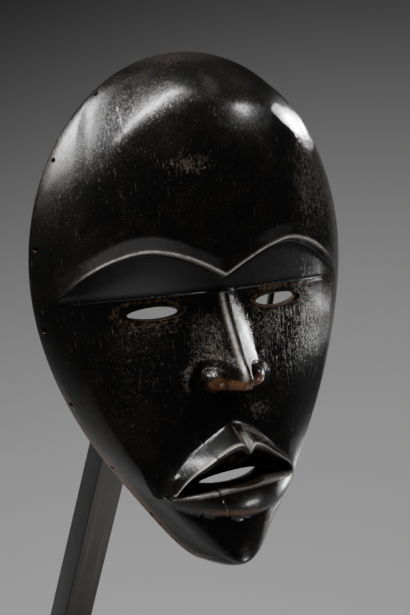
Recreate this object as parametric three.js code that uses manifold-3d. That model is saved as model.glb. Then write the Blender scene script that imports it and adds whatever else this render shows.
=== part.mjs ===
// A carved wooden face mask of the Dan people, held up on a small metal stand.
//
// The mask leans back on a forked bracket of welded steel rod. The bracket's arm
// plugs into the top of a square post, and the post stands in a flat foot.
// Millimetres, +Z up, the face looks towards -Y, origin under the middle of the foot.

import * as THREE from 'three';
import * as BufferGeometryUtils from 'three/addons/utils/BufferGeometryUtils.js';
import Module from 'manifold-3d';

// Mask: overall sizes
const maskHeight = 240;
const maskHalfWidth = 77.5;
const maskDepth = 50;
const maskLean = 33.9;
const wallThickness = 8.5;
const rimWidth = 7;

// Mask: openings
const eyeLength = 29;
const eyeHeight = 8.5;
const eyeBackHeight = 5;
const eyeBackLength = 20;
const eyeLevel = 124.9;
const eyeSide = 32.5;
const mouthLength = 31;
const mouthHeight = 6;
const mouthLevel = 47.2;
const mouthSide = 1.5;
const mouthTilt = 3.4;
const rimHoleDiameter = 2.4;
const rimHoleSetIn = 4.9;
const rimHolesEachSide = 7;
const lowestHoleShare = 0.12;
const highestHoleShare = 0.86;

// Stand
const postSide = 16;
const postSetBack = 28;
const footWidth = 130;
const footDepth = 140;
const footThickness = 20;
const footChamfer = 1.2;
const footRecessDepth = 4;
const chinForward = 80.5;
const chinHeight = 240;

// Bracket
const forkRodDiameter = 3;
const armRodDiameter = 6;
const plugLength = 24;
const armAbovePost = 12.1;
const armBendRadius = 9;
const crossbarLevel = 58;
const crossbarHalfLength = 27;
const forkBendRadius = 10;
const prongBendLevel = 171;
const prongBendHalfSpread = 56;
const prongTipTurn = 46;
const prongTipReach = 0.9;
const propTipReach = 0.96;
const chinPropSetBack = 6;
const chinPropBendLevel = 38;

// Fits between pieces
const touchingGap = 0.3;
const plugClearance = 0.4;

// Mesh fineness
const faceCells = 52;
const hollowCells = 22;
const wallShareOfCells = 0.24;
const rodSides = 8;
const holeSides = 6;

// The carving is laid out on a mask of this size and then stretched to the real one
const drawnHeight = 240;
const drawnHalfWidth = 77.5;
const drawnDepth = 50;
const faceMiddle = -2;

const wasm = await Module();
wasm.setup();

// Small helpers

const clamp = THREE.MathUtils.clamp;
const lerp = THREE.MathUtils.lerp;
const smoothstep = THREE.MathUtils.smoothstep;

// A smooth curve through a few chosen points, flat past both ends
function smoothThrough(points) {
  const last = points.length - 1;
  const slope = (i) => {
    const a = points[Math.max(i - 1, 0)];
    const b = points[Math.min(i + 1, last)];
    return (b[1] - a[1]) / (b[0] - a[0]);
  };
  return (place) => {
    const at = clamp(place, points[0][0], points[last][0]);
    let i = 0;
    while (i < last - 1 && at > points[i + 1][0]) i += 1;
    const width = points[i + 1][0] - points[i][0];
    const t = (at - points[i][0]) / width;
    const start = points[i][1] * (1 + 2 * t) * (1 - t) ** 2 + slope(i) * width * t * (1 - t) ** 2;
    const end = points[i + 1][1] * t * t * (3 - 2 * t) - slope(i + 1) * width * t * t * (1 - t);
    return start + end;
  };
}

function toSolid(geometry) {
  const bare = geometry.clone();
  bare.deleteAttribute('normal');
  bare.deleteAttribute('uv');
  const merged = BufferGeometryUtils.mergeVertices(bare, 1e-4);
  const mesh = new wasm.Mesh({
    numProp: 3,
    vertProperties: new Float32Array(merged.attributes.position.array),
    triVerts: new Uint32Array(merged.index.array),
  });
  return new wasm.Manifold(mesh);
}

function toGeometry(solid) {
  const mesh = solid.getMesh();
  const geometry = new THREE.BufferGeometry();
  geometry.setAttribute('position', new THREE.BufferAttribute(mesh.vertProperties, 3));
  geometry.setIndex(new THREE.BufferAttribute(mesh.triVerts, 1));
  geometry.computeVertexNormals();
  return geometry;
}

// Base form of the mask. Places are x to the viewer's right and z up from the chin,
// and the answer is how far the face stands in front of the flat back.

const midlineProfile = smoothThrough([
  [0, 44.5], [12, 47.5], [30, 47.5], [60, 44], [90, 43], [120, 41.5], [150, 46.5], [180, 50], [210, 46.5],
  [240, 31],
]);
const edgeProfile = smoothThrough([
  [0, 41], [50, 22.5], [85, 14], [120, 9], [155, 9.5], [190, 13], [240, 22],
]);
const cornerRound = smoothThrough([[-1, 0.06], [-0.6, 0.09], [0, 0.17], [1, 0.18]]);

// The outline is an egg: an ellipse made wider above the middle and narrower at the chin
function outlineSwell(v) {
  const jawDrawnIn = 0.02 * Math.exp(-(((v + 0.75) / 0.2) ** 2));
  return 1 + 0.289 * v - 0.226 * v * v + 0.079 * v * v * v - jawDrawnIn;
}

function baseFace(x, z) {
  const v = clamp((2 * z) / drawnHeight - 1, -1, 1);
  const halfWidth = drawnHalfWidth * Math.sqrt(Math.max(1 - v * v, 1e-4)) * outlineSwell(v);
  const across = clamp((x / halfWidth) ** 2, 0, 1);
  return lerp(midlineProfile(z), edgeProfile(z), across);
}

// Brows: the forehead flares out to a crisp curved crest, with a sunk eye socket below it

const browCrest = smoothThrough([
  [0, 140.5], [12, 147.2], [24, 152], [36, 153.9], [48, 151], [58, 145.6], [66, 138.8], [72, 132],
]);
const browHeight = 2.6;
const browFlare = 6.5;
const socketDepth = 3.6;
const browDrop = 3.5;
const eyeLineLevel = 132;
const eyeLineDrop = 2.5;
const cheekStart = 112;

function eyeLine(m) {
  return eyeLineLevel - eyeLineDrop * (m / drawnHalfWidth) ** 2;
}

function browRelief(m, z) {
  const side = Math.abs(m);
  const crest = browCrest(side);
  const fade = 1 - smoothstep(side, 60, 73);
  const above = z - crest;
  if (above >= 0) {
    return fade * browHeight * clamp(1 - above / browFlare, 0, 1);
  }
  const line = eyeLine(m);
  const drop = smoothstep(-above, 0, browDrop);
  if (z > line) {
    const inSocket = lerp(0.4, 1, clamp((z - line) / Math.max(crest - line, 1), 0, 1));
    return fade * lerp(browHeight, -socketDepth * inSocket, drop);
  }
  const recover = smoothstep(z, cheekStart, line);
  return fade * -socketDepth * 0.55 * recover * drop;
}

// Nose: a straight narrow ridge that rises to a blunt tip, with a ball-shaped wing each side. It
// leans a little to the viewer's right towards its tip.

const noseRise = smoothThrough([[88, 17], [95, 15.6], [104, 12.2], [115, 8], [124, 4.8], [133, 2]]);
const noseLean = 2.6;
const noseBottom = 88.5;
const noseTop = 133;
const ridgeHalfWidth = 1.9;
const flankWidth = smoothThrough([[88, 12], [104, 11.5], [133, 6]]);
const wingSide = 9.4;
const wingLevel = 93.2;
const wingRadius = 5.7;
const wingRise = 9.4;

function noseRelief(m, z) {
  const side = Math.abs(m - noseLean * clamp((noseTop - z) / (noseTop - noseBottom), 0, 1));
  const under = smoothstep(z, noseBottom - 2.4, noseBottom);
  const top = 1 - smoothstep(z, noseTop - 1, noseTop + 1);
  const across = clamp((side - ridgeHalfWidth) / flankWidth(z), 0, 1);
  const wedge = noseRise(z) * (1 - across) ** 1.5 * top;
  const reach = Math.hypot(side - wingSide, z - wingLevel) / wingRadius;
  const wing = reach < 1 ? wingRise * Math.sqrt(1 - reach * reach) : 0;
  return under * Math.max(wedge, wing);
}

// Mouth: a peaked upper lip thrust forward over a lower lip, both ending in crooked corners.
// Each edge is a curve of level against x.

const upperLipTop = smoothThrough([
  [-34, 40], [-31, 48], [-26, 56], [-18, 65], [-7, 72], [-3, 73], [7, 67], [21, 57], [29, 50.5], [34, 45],
]);
const upperLipDraw = smoothThrough([
  [-30, 41], [-27, 46.5], [-22, 54], [-16, 60.5], [-8, 64.5], [2, 65], [17, 56.5], [25, 51.5], [32, 46],
]);
const lowerLipDraw = smoothThrough([[-30, 39], [-19, 41.5], [-6, 44], [3, 44.6], [15, 44.2], [32, 44]]);
const lowerLipFoot = smoothThrough([[-32, 37], [-22, 31], [-13, 28.5], [-2, 27.5], [10, 28], [24, 31.5], [34, 39]]);
const upperLipRise = smoothThrough([[-34, 3], [-24, 10], [-12, 16], [0, 18], [14, 14], [26, 8], [34, 3]]);
const lowerLipRise = smoothThrough([[-32, 4], [-16, 8.2], [0, 10.6], [14, 10.2], [26, 6.8], [33, 4]]);
const mouthSink = 4;
const lipTurn = 2.4;
const mouthEnd = 34;
const lowerLipRoundness = 0.75;

// Where the edges run together at the corners they keep a little apart
const upperLipEdge = (x) => Math.min(upperLipDraw(x), upperLipTop(x) - 2);
const lowerLipEdge = (x) => Math.min(lowerLipDraw(x), upperLipEdge(x) - 1);
const lowerLipInside = (x) => Math.min(lowerLipEdge(x) + lipTurn, upperLipEdge(x) - 0.4);

function mouthRelief(x, z) {
  const ends = smoothstep(x, -36, -31) * (1 - smoothstep(x, 31, 36));
  const top = upperLipTop(x);
  const edge = upperLipEdge(x);
  const inside = lowerLipInside(x);
  const lower = lowerLipEdge(x);
  const foot = lowerLipFoot(x);
  if (z > top) return ends * 1.5 * Math.exp(-(z - top) / 2.5);
  if (z > edge) {
    const rise = (top - z) / (top - edge);
    return ends * lerp(1.5, upperLipRise(x), rise ** 0.9);
  }
  if (z > lower) {
    const open = smoothstep(edge - lower, 1, 8);
    const inward = clamp((edge - z) / (edge - inside), 0, 1);
    const deep = lerp(lowerLipRise(x) - 1.5, -mouthSink, open);
    const sunk = lerp(upperLipRise(x), deep, smoothstep(inward, 0, 0.85));
    const nearLower = 1 - smoothstep(z, lower, inside);
    return ends * lerp(sunk, lowerLipRise(x), nearLower);
  }
  const out = clamp((z - foot) / Math.max(lower - foot, 1), 0, 1);
  const roll = Math.sqrt(1 - (1 - out) ** 2);
  const belly = lerp(out, roll, lowerLipRoundness);
  return ends * lowerLipRise(x) * belly;
}

function carvedFace(x, z) {
  const m = x - faceMiddle;
  return baseFace(x, z) + browRelief(m, z) + noseRelief(m, z) + mouthRelief(x, z);
}

// Grid columns are packed closer along the middle, where the carving is finest
function packedPlaces(count, crowd) {
  const fine = 400;
  const sums = [0];
  for (let i = 0; i < fine; i += 1) sums.push(sums[i] + crowd((2 * (i + 0.5)) / fine - 1));
  const places = [];
  let j = 0;
  for (let k = 0; k <= count; k += 1) {
    const target = (sums[fine] * k) / count;
    while (j < fine - 1 && sums[j + 1] < target) j += 1;
    places.push(clamp((2 * (j + (target - sums[j]) / (sums[j + 1] - sums[j]))) / fine - 1, -1, 1));
  }
  return places;
}

// Beside the mouth, its lines spread out again to the levels that they have by the wall
function besideMouth(line, usual) {
  return (x) => lerp(line(x), usual, smoothstep(Math.abs(x), mouthEnd, mouthEnd + 14));
}

// Grid rows follow these carved lines, so that every crisp edge lies on a row. Each line has
// its usual level, its true level at x, and the number of rows between it and the next line.
const carvedLines = [
  { usual: 0, level: () => 0, rows: 6 },
  { usual: 28, level: besideMouth(lowerLipFoot, 28), rows: 4 },
  { usual: 44, level: besideMouth(lowerLipEdge, 44), rows: 2 },
  { usual: 46.4, level: besideMouth(lowerLipInside, 46.4), rows: 5 },
  { usual: 64, level: besideMouth(upperLipEdge, 64), rows: 3 },
  { usual: 71, level: besideMouth(upperLipTop, 71), rows: 3 },
  { usual: 86, level: () => noseBottom - 2.4, rows: 1 },
  { usual: 88.5, level: () => noseBottom, rows: 4 },
  { usual: 101, level: () => 101, rows: 7 },
  { usual: 132, level: (x) => eyeLine(x - faceMiddle), rows: 4 },
  { usual: 147, level: (x) => browCrest(Math.abs(x - faceMiddle)) - browDrop, rows: 2 },
  { usual: 150.5, level: (x) => browCrest(Math.abs(x - faceMiddle)), rows: 2 },
  { usual: 157, level: (x) => browCrest(Math.abs(x - faceMiddle)) + browFlare, rows: 12 },
  { usual: drawnHeight, level: () => drawnHeight, rows: 0 },
];

function rowAt(level) {
  return (2 * level) / drawnHeight - 1;
}

function lineRows() {
  const rows = [];
  for (let k = 0; k < carvedLines.length - 1; k += 1) {
    const from = rowAt(carvedLines[k].usual);
    const to = rowAt(carvedLines[k + 1].usual);
    for (let i = 0; i < carvedLines[k].rows; i += 1) rows.push(lerp(from, to, i / carvedLines[k].rows));
  }
  rows.push(1);
  return rows;
}

// Share of the way out from the middle, and turn about it, of a square grid's column and row
function discPlace(column, row) {
  const u = column * Math.sqrt(1 - (row * row) / 2);
  const v = row * Math.sqrt(1 - (column * column) / 2);
  return [Math.min(Math.hypot(u, v), 1), Math.atan2(v, u)];
}

// How far a grid point moves up or down so that its row follows the carved lines
function rowShift(column, row) {
  let k = 0;
  while (k < carvedLines.length - 2 && row > rowAt(carvedLines[k + 1].usual)) k += 1;
  const from = rowAt(carvedLines[k].usual);
  const to = rowAt(carvedLines[k + 1].usual);
  const [start, end] = [carvedLines[k], carvedLines[k + 1]].map((line) => {
    const [q, turn] = discPlace(column, rowAt(line.usual));
    const { x, z } = faceSpot(q, turn);
    return (line.level(x) - z) * (1 - smoothstep(q, 0.7, 0.765));
  });
  return lerp(start, end, (row - from) / (to - from));
}

// A solid with a rounded front over the egg outline and a flat back. surface(q, turn)
// gives the point at share q of the way from the middle to the rim.
function domedSolid(columns, rows, surface, backDepth) {
  const wide = columns.length;
  const tall = rows.length;
  const positions = [];
  for (const row of rows) {
    for (const column of columns) {
      positions.push(...surface(...discPlace(column, row), column, row));
    }
  }
  const triangles = [];
  for (let j = 0; j < tall - 1; j += 1) {
    for (let i = 0; i < wide - 1; i += 1) {
      const a = j * wide + i;
      const corners = [a, a + 1, a + wide + 1, a + wide];
      const flip = (i < wide / 2) === (j < tall / 2);
      const [p, q, r, s] = flip ? [corners[1], corners[2], corners[3], corners[0]] : corners;
      triangles.push(p, q, r, p, r, s);
    }
  }
  const ring = [];
  for (let i = 0; i < wide - 1; i += 1) ring.push(i);
  for (let j = 0; j < tall - 1; j += 1) ring.push(j * wide + wide - 1);
  for (let i = wide - 1; i > 0; i -= 1) ring.push((tall - 1) * wide + i);
  for (let j = tall - 1; j > 0; j -= 1) ring.push(j * wide);
  const backRing = ring.map((index) => {
    positions.push(positions[3 * index], backDepth, positions[3 * index + 2]);
    return positions.length / 3 - 1;
  });
  const count = ring.length;
  positions.push(0, backDepth, maskHeight / 2);
  const middle = positions.length / 3 - 1;
  for (let k = 0; k < count; k += 1) {
    const next = (k + 1) % count;
    triangles.push(ring[k], backRing[k], backRing[next], ring[k], backRing[next], ring[next]);
    triangles.push(middle, backRing[next], backRing[k]);
  }
  const geometry = new THREE.BufferGeometry();
  geometry.setAttribute('position', new THREE.Float32BufferAttribute(positions, 3));
  geometry.setIndex(triangles);
  return toSolid(geometry);
}

// Place on the drawn face, before it is carved, with the angle through which the wall turns back
function faceSpot(q, turn) {
  const inner = 1 - wallShareOfCells;
  const bend = q > inner ? ((q - inner) / wallShareOfCells) * (Math.PI / 2) : 0;
  const round = cornerRound(Math.sin(turn));
  const s = q > inner ? 1 - round + round * Math.sin(bend) : ((1 - round) * q) / inner;
  const v = s * Math.sin(turn);
  const x = drawnHalfWidth * s * Math.cos(turn) * outlineSwell(v);
  return { x, z: (drawnHeight / 2) * (1 + v), bend };
}

// Point of the outside of the mask, in the mask's own frame with its back on Y = 0
function outerPoint(q, turn, column, row) {
  const spot = faceSpot(q, turn);
  const z = spot.z + rowShift(column, row);
  const depth = carvedFace(spot.x, z) * Math.cos(spot.bend);
  return [
    (spot.x * maskHalfWidth) / drawnHalfWidth,
    (-depth * maskDepth) / drawnDepth,
    (z * maskHeight) / drawnHeight,
  ];
}

// Point of the inside, a plain bowl that keeps the wall's thickness; less is extra room
function hollowPoint(less) {
  const hollowRound = 0.38;
  return (q, turn) => {
    const inner = 0.55;
    const bend = q > inner ? ((q - inner) / (1 - inner)) * (Math.PI / 2) : 0;
    const s = q > inner ? 1 - hollowRound + hollowRound * Math.sin(bend) : ((1 - hollowRound) * q) / inner;
    const v = s * Math.sin(turn);
    const halfWidth = maskHalfWidth - rimWidth - less;
    const halfHeight = maskHeight / 2 - rimWidth - less;
    const x = halfWidth * s * Math.cos(turn) * outlineSwell(v);
    const z = maskHeight / 2 + halfHeight * v;
    const drawnX = (x * drawnHalfWidth) / maskHalfWidth;
    const drawnZ = (z * drawnHeight) / maskHeight;
    const front = (baseFace(drawnX, drawnZ) * maskDepth) / drawnDepth;
    const depth = Math.max(front - wallThickness - less, 2) * Math.cos(bend);
    return [x, -depth, z];
  };
}

// A lens-shaped cutter that runs through the wall, with its back end lower than its front
function slitCutter(x, z, length, backLength, frontHeight, backHeight, tilt) {
  const outline = new THREE.Shape();
  const corners = 14;
  for (let k = 0; k < corners; k += 1) {
    const angle = (2 * Math.PI * k) / corners;
    const px = (length / 2) * Math.cos(angle);
    const pz = (frontHeight / 2) * Math.sign(Math.sin(angle)) * Math.abs(Math.sin(angle)) ** 1.2;
    if (k === 0) outline.moveTo(px, pz);
    else outline.lineTo(px, pz);
  }
  const reach = maskDepth + 20;
  const geometry = new THREE.ExtrudeGeometry(outline, { depth: reach, steps: 14, bevelEnabled: false });
  const place = geometry.attributes.position;
  const frontDepth = 40;
  for (let i = 0; i < place.count; i += 1) {
    const forward = place.getZ(i);
    const share = clamp((frontDepth - forward) / wallThickness, 0, 1);
    const height = lerp(1, backHeight / frontHeight, share);
    const lowered = place.getY(i) * height - share * (frontHeight - backHeight) * 0.25;
    place.setXYZ(i, place.getX(i) * lerp(1, backLength / length, share), lowered, forward);
  }
  geometry.rotateZ(tilt);
  geometry.rotateX(Math.PI / 2);
  geometry.translate(x, 0, z);
  return toSolid(geometry);
}

// Small drilled holes through the side wall, near the back edge, level with each other
function rimHoleCutters() {
  const cutters = [];
  for (let k = 0; k < rimHolesEachSide; k += 1) {
    const share = lerp(lowestHoleShare, highestHoleShare, k / (rimHolesEachSide - 1));
    const v = 2 * share - 1;
    const edge = maskHalfWidth * Math.sqrt(1 - v * v) * outlineSwell(v);
    for (const side of [-1, 1]) {
      const radius = rimHoleDiameter / 2;
      const length = rimWidth * 6;
      const hole = new THREE.CylinderGeometry(radius, radius, length, holeSides);
      hole.rotateZ(Math.PI / 2);
      hole.translate(side * edge, -rimHoleSetIn, share * maskHeight);
      cutters.push(toSolid(hole));
    }
  }
  return cutters;
}

function crowdedColumns(u) {
  return 1 + 1.1 * Math.exp(-((u / 0.3) ** 2));
}

function maskGeometry() {
  const columns = packedPlaces(faceCells, crowdedColumns);
  const even = packedPlaces(hollowCells, () => 1);
  let mask = domedSolid(columns, lineRows(), outerPoint, 0);
  mask = mask.subtract(domedSolid(even, even, hollowPoint(0), rimWidth));
  const taller = maskHeight / drawnHeight;
  const wider = maskHalfWidth / drawnHalfWidth;
  for (const side of [-1, 1]) {
    const x = (faceMiddle + side * eyeSide) * wider;
    const eyeZ = eyeLevel * taller;
    mask = mask.subtract(slitCutter(x, eyeZ, eyeLength, eyeBackLength, eyeHeight, eyeBackHeight, 0));
  }
  const tilt = THREE.MathUtils.degToRad(mouthTilt);
  const mouthX = -mouthSide * wider;
  const mouthZ = mouthLevel * taller;
  mask = mask.subtract(slitCutter(mouthX, mouthZ, mouthLength, mouthLength, mouthHeight, mouthHeight, tilt));
  for (const hole of rimHoleCutters()) mask = mask.subtract(hole);
  return mask;
}

// Places of the stand. A point on the leaning mask is given as x, forward of its back, up
// along it, and comes out in the object's frame.

const lean = THREE.MathUtils.degToRad(maskLean);
const chinPoint = new THREE.Vector3(0, -chinForward, chinHeight);

function onMask(x, forward, along) {
  const point = new THREE.Vector3(x, -forward, along);
  point.applyAxisAngle(new THREE.Vector3(1, 0, 0), -lean);
  return point.add(chinPoint);
}

// A path through listed stations, each an equal share of its parameter
class StationPath extends THREE.Curve {
  constructor(stations) {
    super();
    this.stations = stations;
  }

  getPoint(t) {
    const along = clamp(t, 0, 1) * (this.stations.length - 1);
    const i = Math.min(Math.floor(along), this.stations.length - 2);
    return this.stations[i].clone().lerp(this.stations[i + 1], along - i);
  }

  getPointAt(t) {
    return this.getPoint(t);
  }

  getTangentAt(t) {
    return this.getTangent(t);
  }
}

// A round rod along straight runs with bent corners
function rod(points, diameter, bendRadius) {
  const bendSteps = 4;
  const stations = [points[0]];
  for (let i = 1; i < points.length - 1; i += 1) {
    const corner = points[i];
    const before = corner.clone().lerp(points[i - 1], bendRadius / corner.distanceTo(points[i - 1]));
    const after = corner.clone().lerp(points[i + 1], bendRadius / corner.distanceTo(points[i + 1]));
    const bend = new THREE.QuadraticBezierCurve3(before, corner, after);
    stations.push(...bend.getPoints(bendSteps));
  }
  stations.push(points[points.length - 1]);
  const section = new THREE.Shape();
  for (let k = 0; k < rodSides; k += 1) {
    const angle = (2 * Math.PI * k) / rodSides;
    const px = (diameter / 2) * Math.cos(angle);
    const py = (diameter / 2) * Math.sin(angle);
    if (k === 0) section.moveTo(px, py);
    else section.lineTo(px, py);
  }
  const extrudePath = new StationPath(stations);
  const steps = stations.length - 1;
  const geometry = new THREE.ExtrudeGeometry(section, { steps, extrudePath, bevelEnabled: false });
  return toSolid(geometry);
}

// A point in the middle of the mask's wall, so that a rod aimed at it always reaches the wall
function wallMiddle(q, turn) {
  const [x, y, z] = hollowPoint(-wallThickness / 2)(q, turn);
  return onMask(x, -y, z);
}

const crossbarMiddle = onMask(0, 0, crossbarLevel);
const armLevel = crossbarMiddle.z;
const postTopHeight = armLevel - armAbovePost;
const postPlace = new THREE.Vector3(0, postSetBack, 0);

function bracketGeometry() {
  const tipTurn = THREE.MathUtils.degToRad(prongTipTurn);
  const fork = [];
  for (const side of [-1, 1]) {
    const turn = side > 0 ? tipTurn : Math.PI - tipTurn;
    const prong = [
      wallMiddle(prongTipReach, turn),
      onMask(side * prongBendHalfSpread, 0, prongBendLevel),
      onMask(side * crossbarHalfLength, 0, crossbarLevel),
      onMask(-side * forkRodDiameter, 0, crossbarLevel),
    ];
    fork.push(rod(prong, forkRodDiameter, forkBendRadius));
  }
  const chinProp = [
    onMask(0, 0, crossbarLevel),
    onMask(0, -chinPropSetBack, chinPropBendLevel),
    wallMiddle(propTipReach, -Math.PI / 2),
  ];
  fork.push(rod(chinProp, forkRodDiameter, forkBendRadius));
  const aboveBend = new THREE.Vector3(0, postSetBack, armLevel);
  const plugEnd = new THREE.Vector3(0, postSetBack, postTopHeight - plugLength);
  const arm = rod([crossbarMiddle, aboveBend, plugEnd], armRodDiameter, armBendRadius);
  const even = packedPlaces(hollowCells, () => 1);
  const around = domedSolid(even, even, outerPoint, 0);
  const wall = around.subtract(domedSolid(even, even, hollowPoint(touchingGap), rimWidth));
  const placed = toGeometry(wall);
  placed.rotateX(-lean);
  placed.translate(0, -chinForward, chinHeight);
  let bracket = arm;
  for (const piece of fork) bracket = bracket.add(piece);
  return toGeometry(bracket.subtract(toSolid(placed)));
}

function postGeometry() {
  const bottom = footThickness - footRecessDepth + touchingGap;
  const length = postTopHeight - bottom;
  const bar = new THREE.BoxGeometry(postSide, postSide, length);
  bar.translate(0, 0, bottom + length / 2);
  const boreRadius = armRodDiameter / 2 + plugClearance;
  const boreDepth = plugLength + plugClearance;
  const bore = new THREE.CylinderGeometry(boreRadius, boreRadius, boreDepth * 2, 2 * rodSides);
  bore.rotateX(Math.PI / 2);
  bore.translate(0, 0, postTopHeight);
  const post = toGeometry(toSolid(bar).subtract(toSolid(bore)));
  post.translate(postPlace.x, postPlace.y, postPlace.z);
  return post;
}

function footGeometry() {
  const halfWidth = footWidth / 2 - footChamfer;
  const halfDepth = footDepth / 2 - footChamfer;
  const outline = new THREE.Shape();
  outline.moveTo(-halfWidth, -halfDepth);
  outline.lineTo(halfWidth, -halfDepth);
  outline.lineTo(halfWidth, halfDepth);
  outline.lineTo(-halfWidth, halfDepth);
  const slab = new THREE.ExtrudeGeometry(outline, {
    depth: footThickness - 2 * footChamfer,
    bevelSize: footChamfer,
    bevelThickness: footChamfer,
    bevelSegments: 1,
  });
  slab.translate(0, 0, footChamfer);
  const side = postSide + 2 * touchingGap;
  const recess = new THREE.BoxGeometry(side, side, footRecessDepth * 2);
  recess.translate(postPlace.x, postPlace.y, footThickness);
  return toGeometry(toSolid(slab).subtract(toSolid(recess)));
}

// Materials

const blackWood = new THREE.MeshStandardMaterial({ color: 0x14110e, roughness: 0.32, metalness: 0 });
const blackSteel = new THREE.MeshStandardMaterial({ color: 0x2b2a28, roughness: 0.5, metalness: 0.6 });

// Assembly

const danMask = new THREE.Group();

const leaning = new THREE.Group();
leaning.position.copy(chinPoint);
leaning.rotation.x = -lean;
danMask.add(leaning);

const mask = new THREE.Mesh(toGeometry(maskGeometry()), blackWood);
mask.name = 'mask';
leaning.add(mask);

const bracket = new THREE.Mesh(bracketGeometry(), blackSteel);
bracket.name = 'mount_bracket';
danMask.add(bracket);

const post = new THREE.Mesh(postGeometry(), blackSteel);
post.name = 'post';
danMask.add(post);

const foot = new THREE.Mesh(footGeometry(), blackSteel);
foot.name = 'foot';
danMask.add(foot);

export default danMask;
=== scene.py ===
"""A Dan face mask of black carved wood, leaning back on a rod bracket, a square post and a flat foot."""

import math

import bmesh
import bpy
import numpy as np
from mathutils import Matrix, Vector, noise


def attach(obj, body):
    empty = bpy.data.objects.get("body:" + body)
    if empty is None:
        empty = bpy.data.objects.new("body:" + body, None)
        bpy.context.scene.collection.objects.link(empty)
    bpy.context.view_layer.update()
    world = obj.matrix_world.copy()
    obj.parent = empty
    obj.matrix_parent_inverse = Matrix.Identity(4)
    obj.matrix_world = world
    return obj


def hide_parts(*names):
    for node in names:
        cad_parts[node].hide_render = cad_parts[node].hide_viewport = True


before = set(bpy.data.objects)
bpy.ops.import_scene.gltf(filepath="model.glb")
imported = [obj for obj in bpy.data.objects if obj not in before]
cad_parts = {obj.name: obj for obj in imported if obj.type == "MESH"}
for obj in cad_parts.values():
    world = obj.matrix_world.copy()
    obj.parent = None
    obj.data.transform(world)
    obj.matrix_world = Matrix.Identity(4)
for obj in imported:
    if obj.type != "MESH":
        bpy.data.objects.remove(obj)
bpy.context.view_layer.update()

# Mask, the block
# One block of hard wood, adzed to a deep egg-shaped dome with a flat back and then hollowed
# to a wall as thick as a finger. Places on it are in millimetres: x to the viewer's right,
# z up from the chin, and depth forward of the flat back.
mask_height = 240.0
mask_half_width = 77.5
face_middle = -2.0


def smooth_through(points):
    places, values = np.array(points, float).T
    slopes = np.empty_like(values)
    slopes[1:-1] = (values[2:] - values[:-2]) / (places[2:] - places[:-2])
    slopes[0] = (values[1] - values[0]) / (places[1] - places[0])
    slopes[-1] = (values[-1] - values[-2]) / (places[-1] - places[-2])

    def curve(place):
        at = np.clip(place, places[0], places[-1])
        i = np.clip(np.searchsorted(places, at, side="right") - 1, 0, len(places) - 2)
        width = places[i + 1] - places[i]
        t = (at - places[i]) / width
        start = values[i] * (1 + 2 * t) * (1 - t) ** 2 + slopes[i] * width * t * (1 - t) ** 2
        end = values[i + 1] * t * t * (3 - 2 * t) - slopes[i + 1] * width * t * t * (1 - t)
        return start + end

    return curve


def ease(place, start, end):
    t = np.clip((place - start) / (end - start), 0, 1)
    return t * t * (3 - 2 * t)


def mix(a, b, share):
    return a + (b - a) * share


def bump(place, middle, width):
    return np.exp(-(((place - middle) / width) ** 2))


midline = smooth_through([
    (0, 44.5), (12, 47.5), (30, 47.5), (60, 44), (90, 43),
    (120, 41.5), (150, 46.5), (180, 50), (210, 46.5), (240, 31),
])
side_edge = smooth_through([(0, 41), (50, 22.5), (85, 14), (120, 9), (155, 9.5), (190, 13), (240, 22)])
corner_round = smooth_through([(-1, 0.06), (-0.6, 0.09), (0, 0.17), (1, 0.18)])


def outline_swell(v):
    return 1 + 0.289 * v - 0.226 * v**2 + 0.079 * v**3 - 0.02 * bump(v, -0.75, 0.2)


def base_face(x, z):
    v = np.clip(2 * z / mask_height - 1, -1, 1)
    half_width = mask_half_width * np.sqrt(np.maximum(1 - v * v, 1e-4)) * outline_swell(v)
    across = np.clip((x / half_width) ** 2, 0, 1)
    return mix(midline(z), side_edge(z), across)


# Mask, brows and eye sockets
# The forehead flares out to a crisp bent crest over each eye, and drops from it into a sunk
# socket. The socket ends in a fine cut line just over the eye slit.
brow_crest = smooth_through(
    [(0, 140.5), (12, 147.2), (24, 152), (36, 153.9), (48, 151), (58, 145.6), (66, 138.8), (72, 132)]
)
brow_height = 2.7
brow_flare = 6.5
brow_drop = 2.8
socket_depth = 3.6


def eye_line(m):
    return 132 - 2.5 * (m / mask_half_width) ** 2


def brow_relief(m, z):
    side = np.abs(m)
    crest = brow_crest(side)
    line = eye_line(m)
    fade = 1 - ease(side, 60, 73)
    above = z - crest
    over = brow_height * np.clip(1 - above / brow_flare, 0, 1)
    drop = ease(-above, 0, brow_drop)
    in_socket = mix(0.4, 1, np.clip((z - line) / np.maximum(crest - line, 1), 0, 1))
    socket = mix(brow_height, -socket_depth * in_socket, drop)
    lid = -socket_depth * 0.55 * ease(z, 112, line) * drop
    cut = 0.5 * bump(z, line, 0.7) * ease(side, 4, 8)
    relief = np.where(above >= 0, over, np.where(z > line, socket, lid)) - cut * (above < -3)
    return fade * relief


# Mask, nose
# A straight narrow ridge leans a little to the right and widens to a blunt tip, cut off square
# underneath. Each wing is a small ball under a raised arch.
nose_rise = smooth_through(
    [(88, 13.5), (91, 15.2), (95, 15.6), (104, 12.2), (115, 8), (124, 4.8), (133, 2)]
)
nose_lean = 2.6
flank_width = smooth_through([(88, 12), (104, 12.4), (115, 12), (133, 6.5)])
nose_bottom = 88.5
nose_top = 133
nose_ridge_half_width = 1.9
wing_side, wing_level, wing_radius, wing_rise = 10.0, 93.1, 5.5, 9.0
arch_rise, arch_outer_fall, arch_inner_fall = 1.7, 3.2, 1.2
left_arch_side, left_arch_level, left_arch_radius, arch_squash = -11.3, 91.5, 10.2, 0.92
right_arch_side, right_arch_level, right_arch_radius = 9.5, 92.5, 7.4


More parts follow.
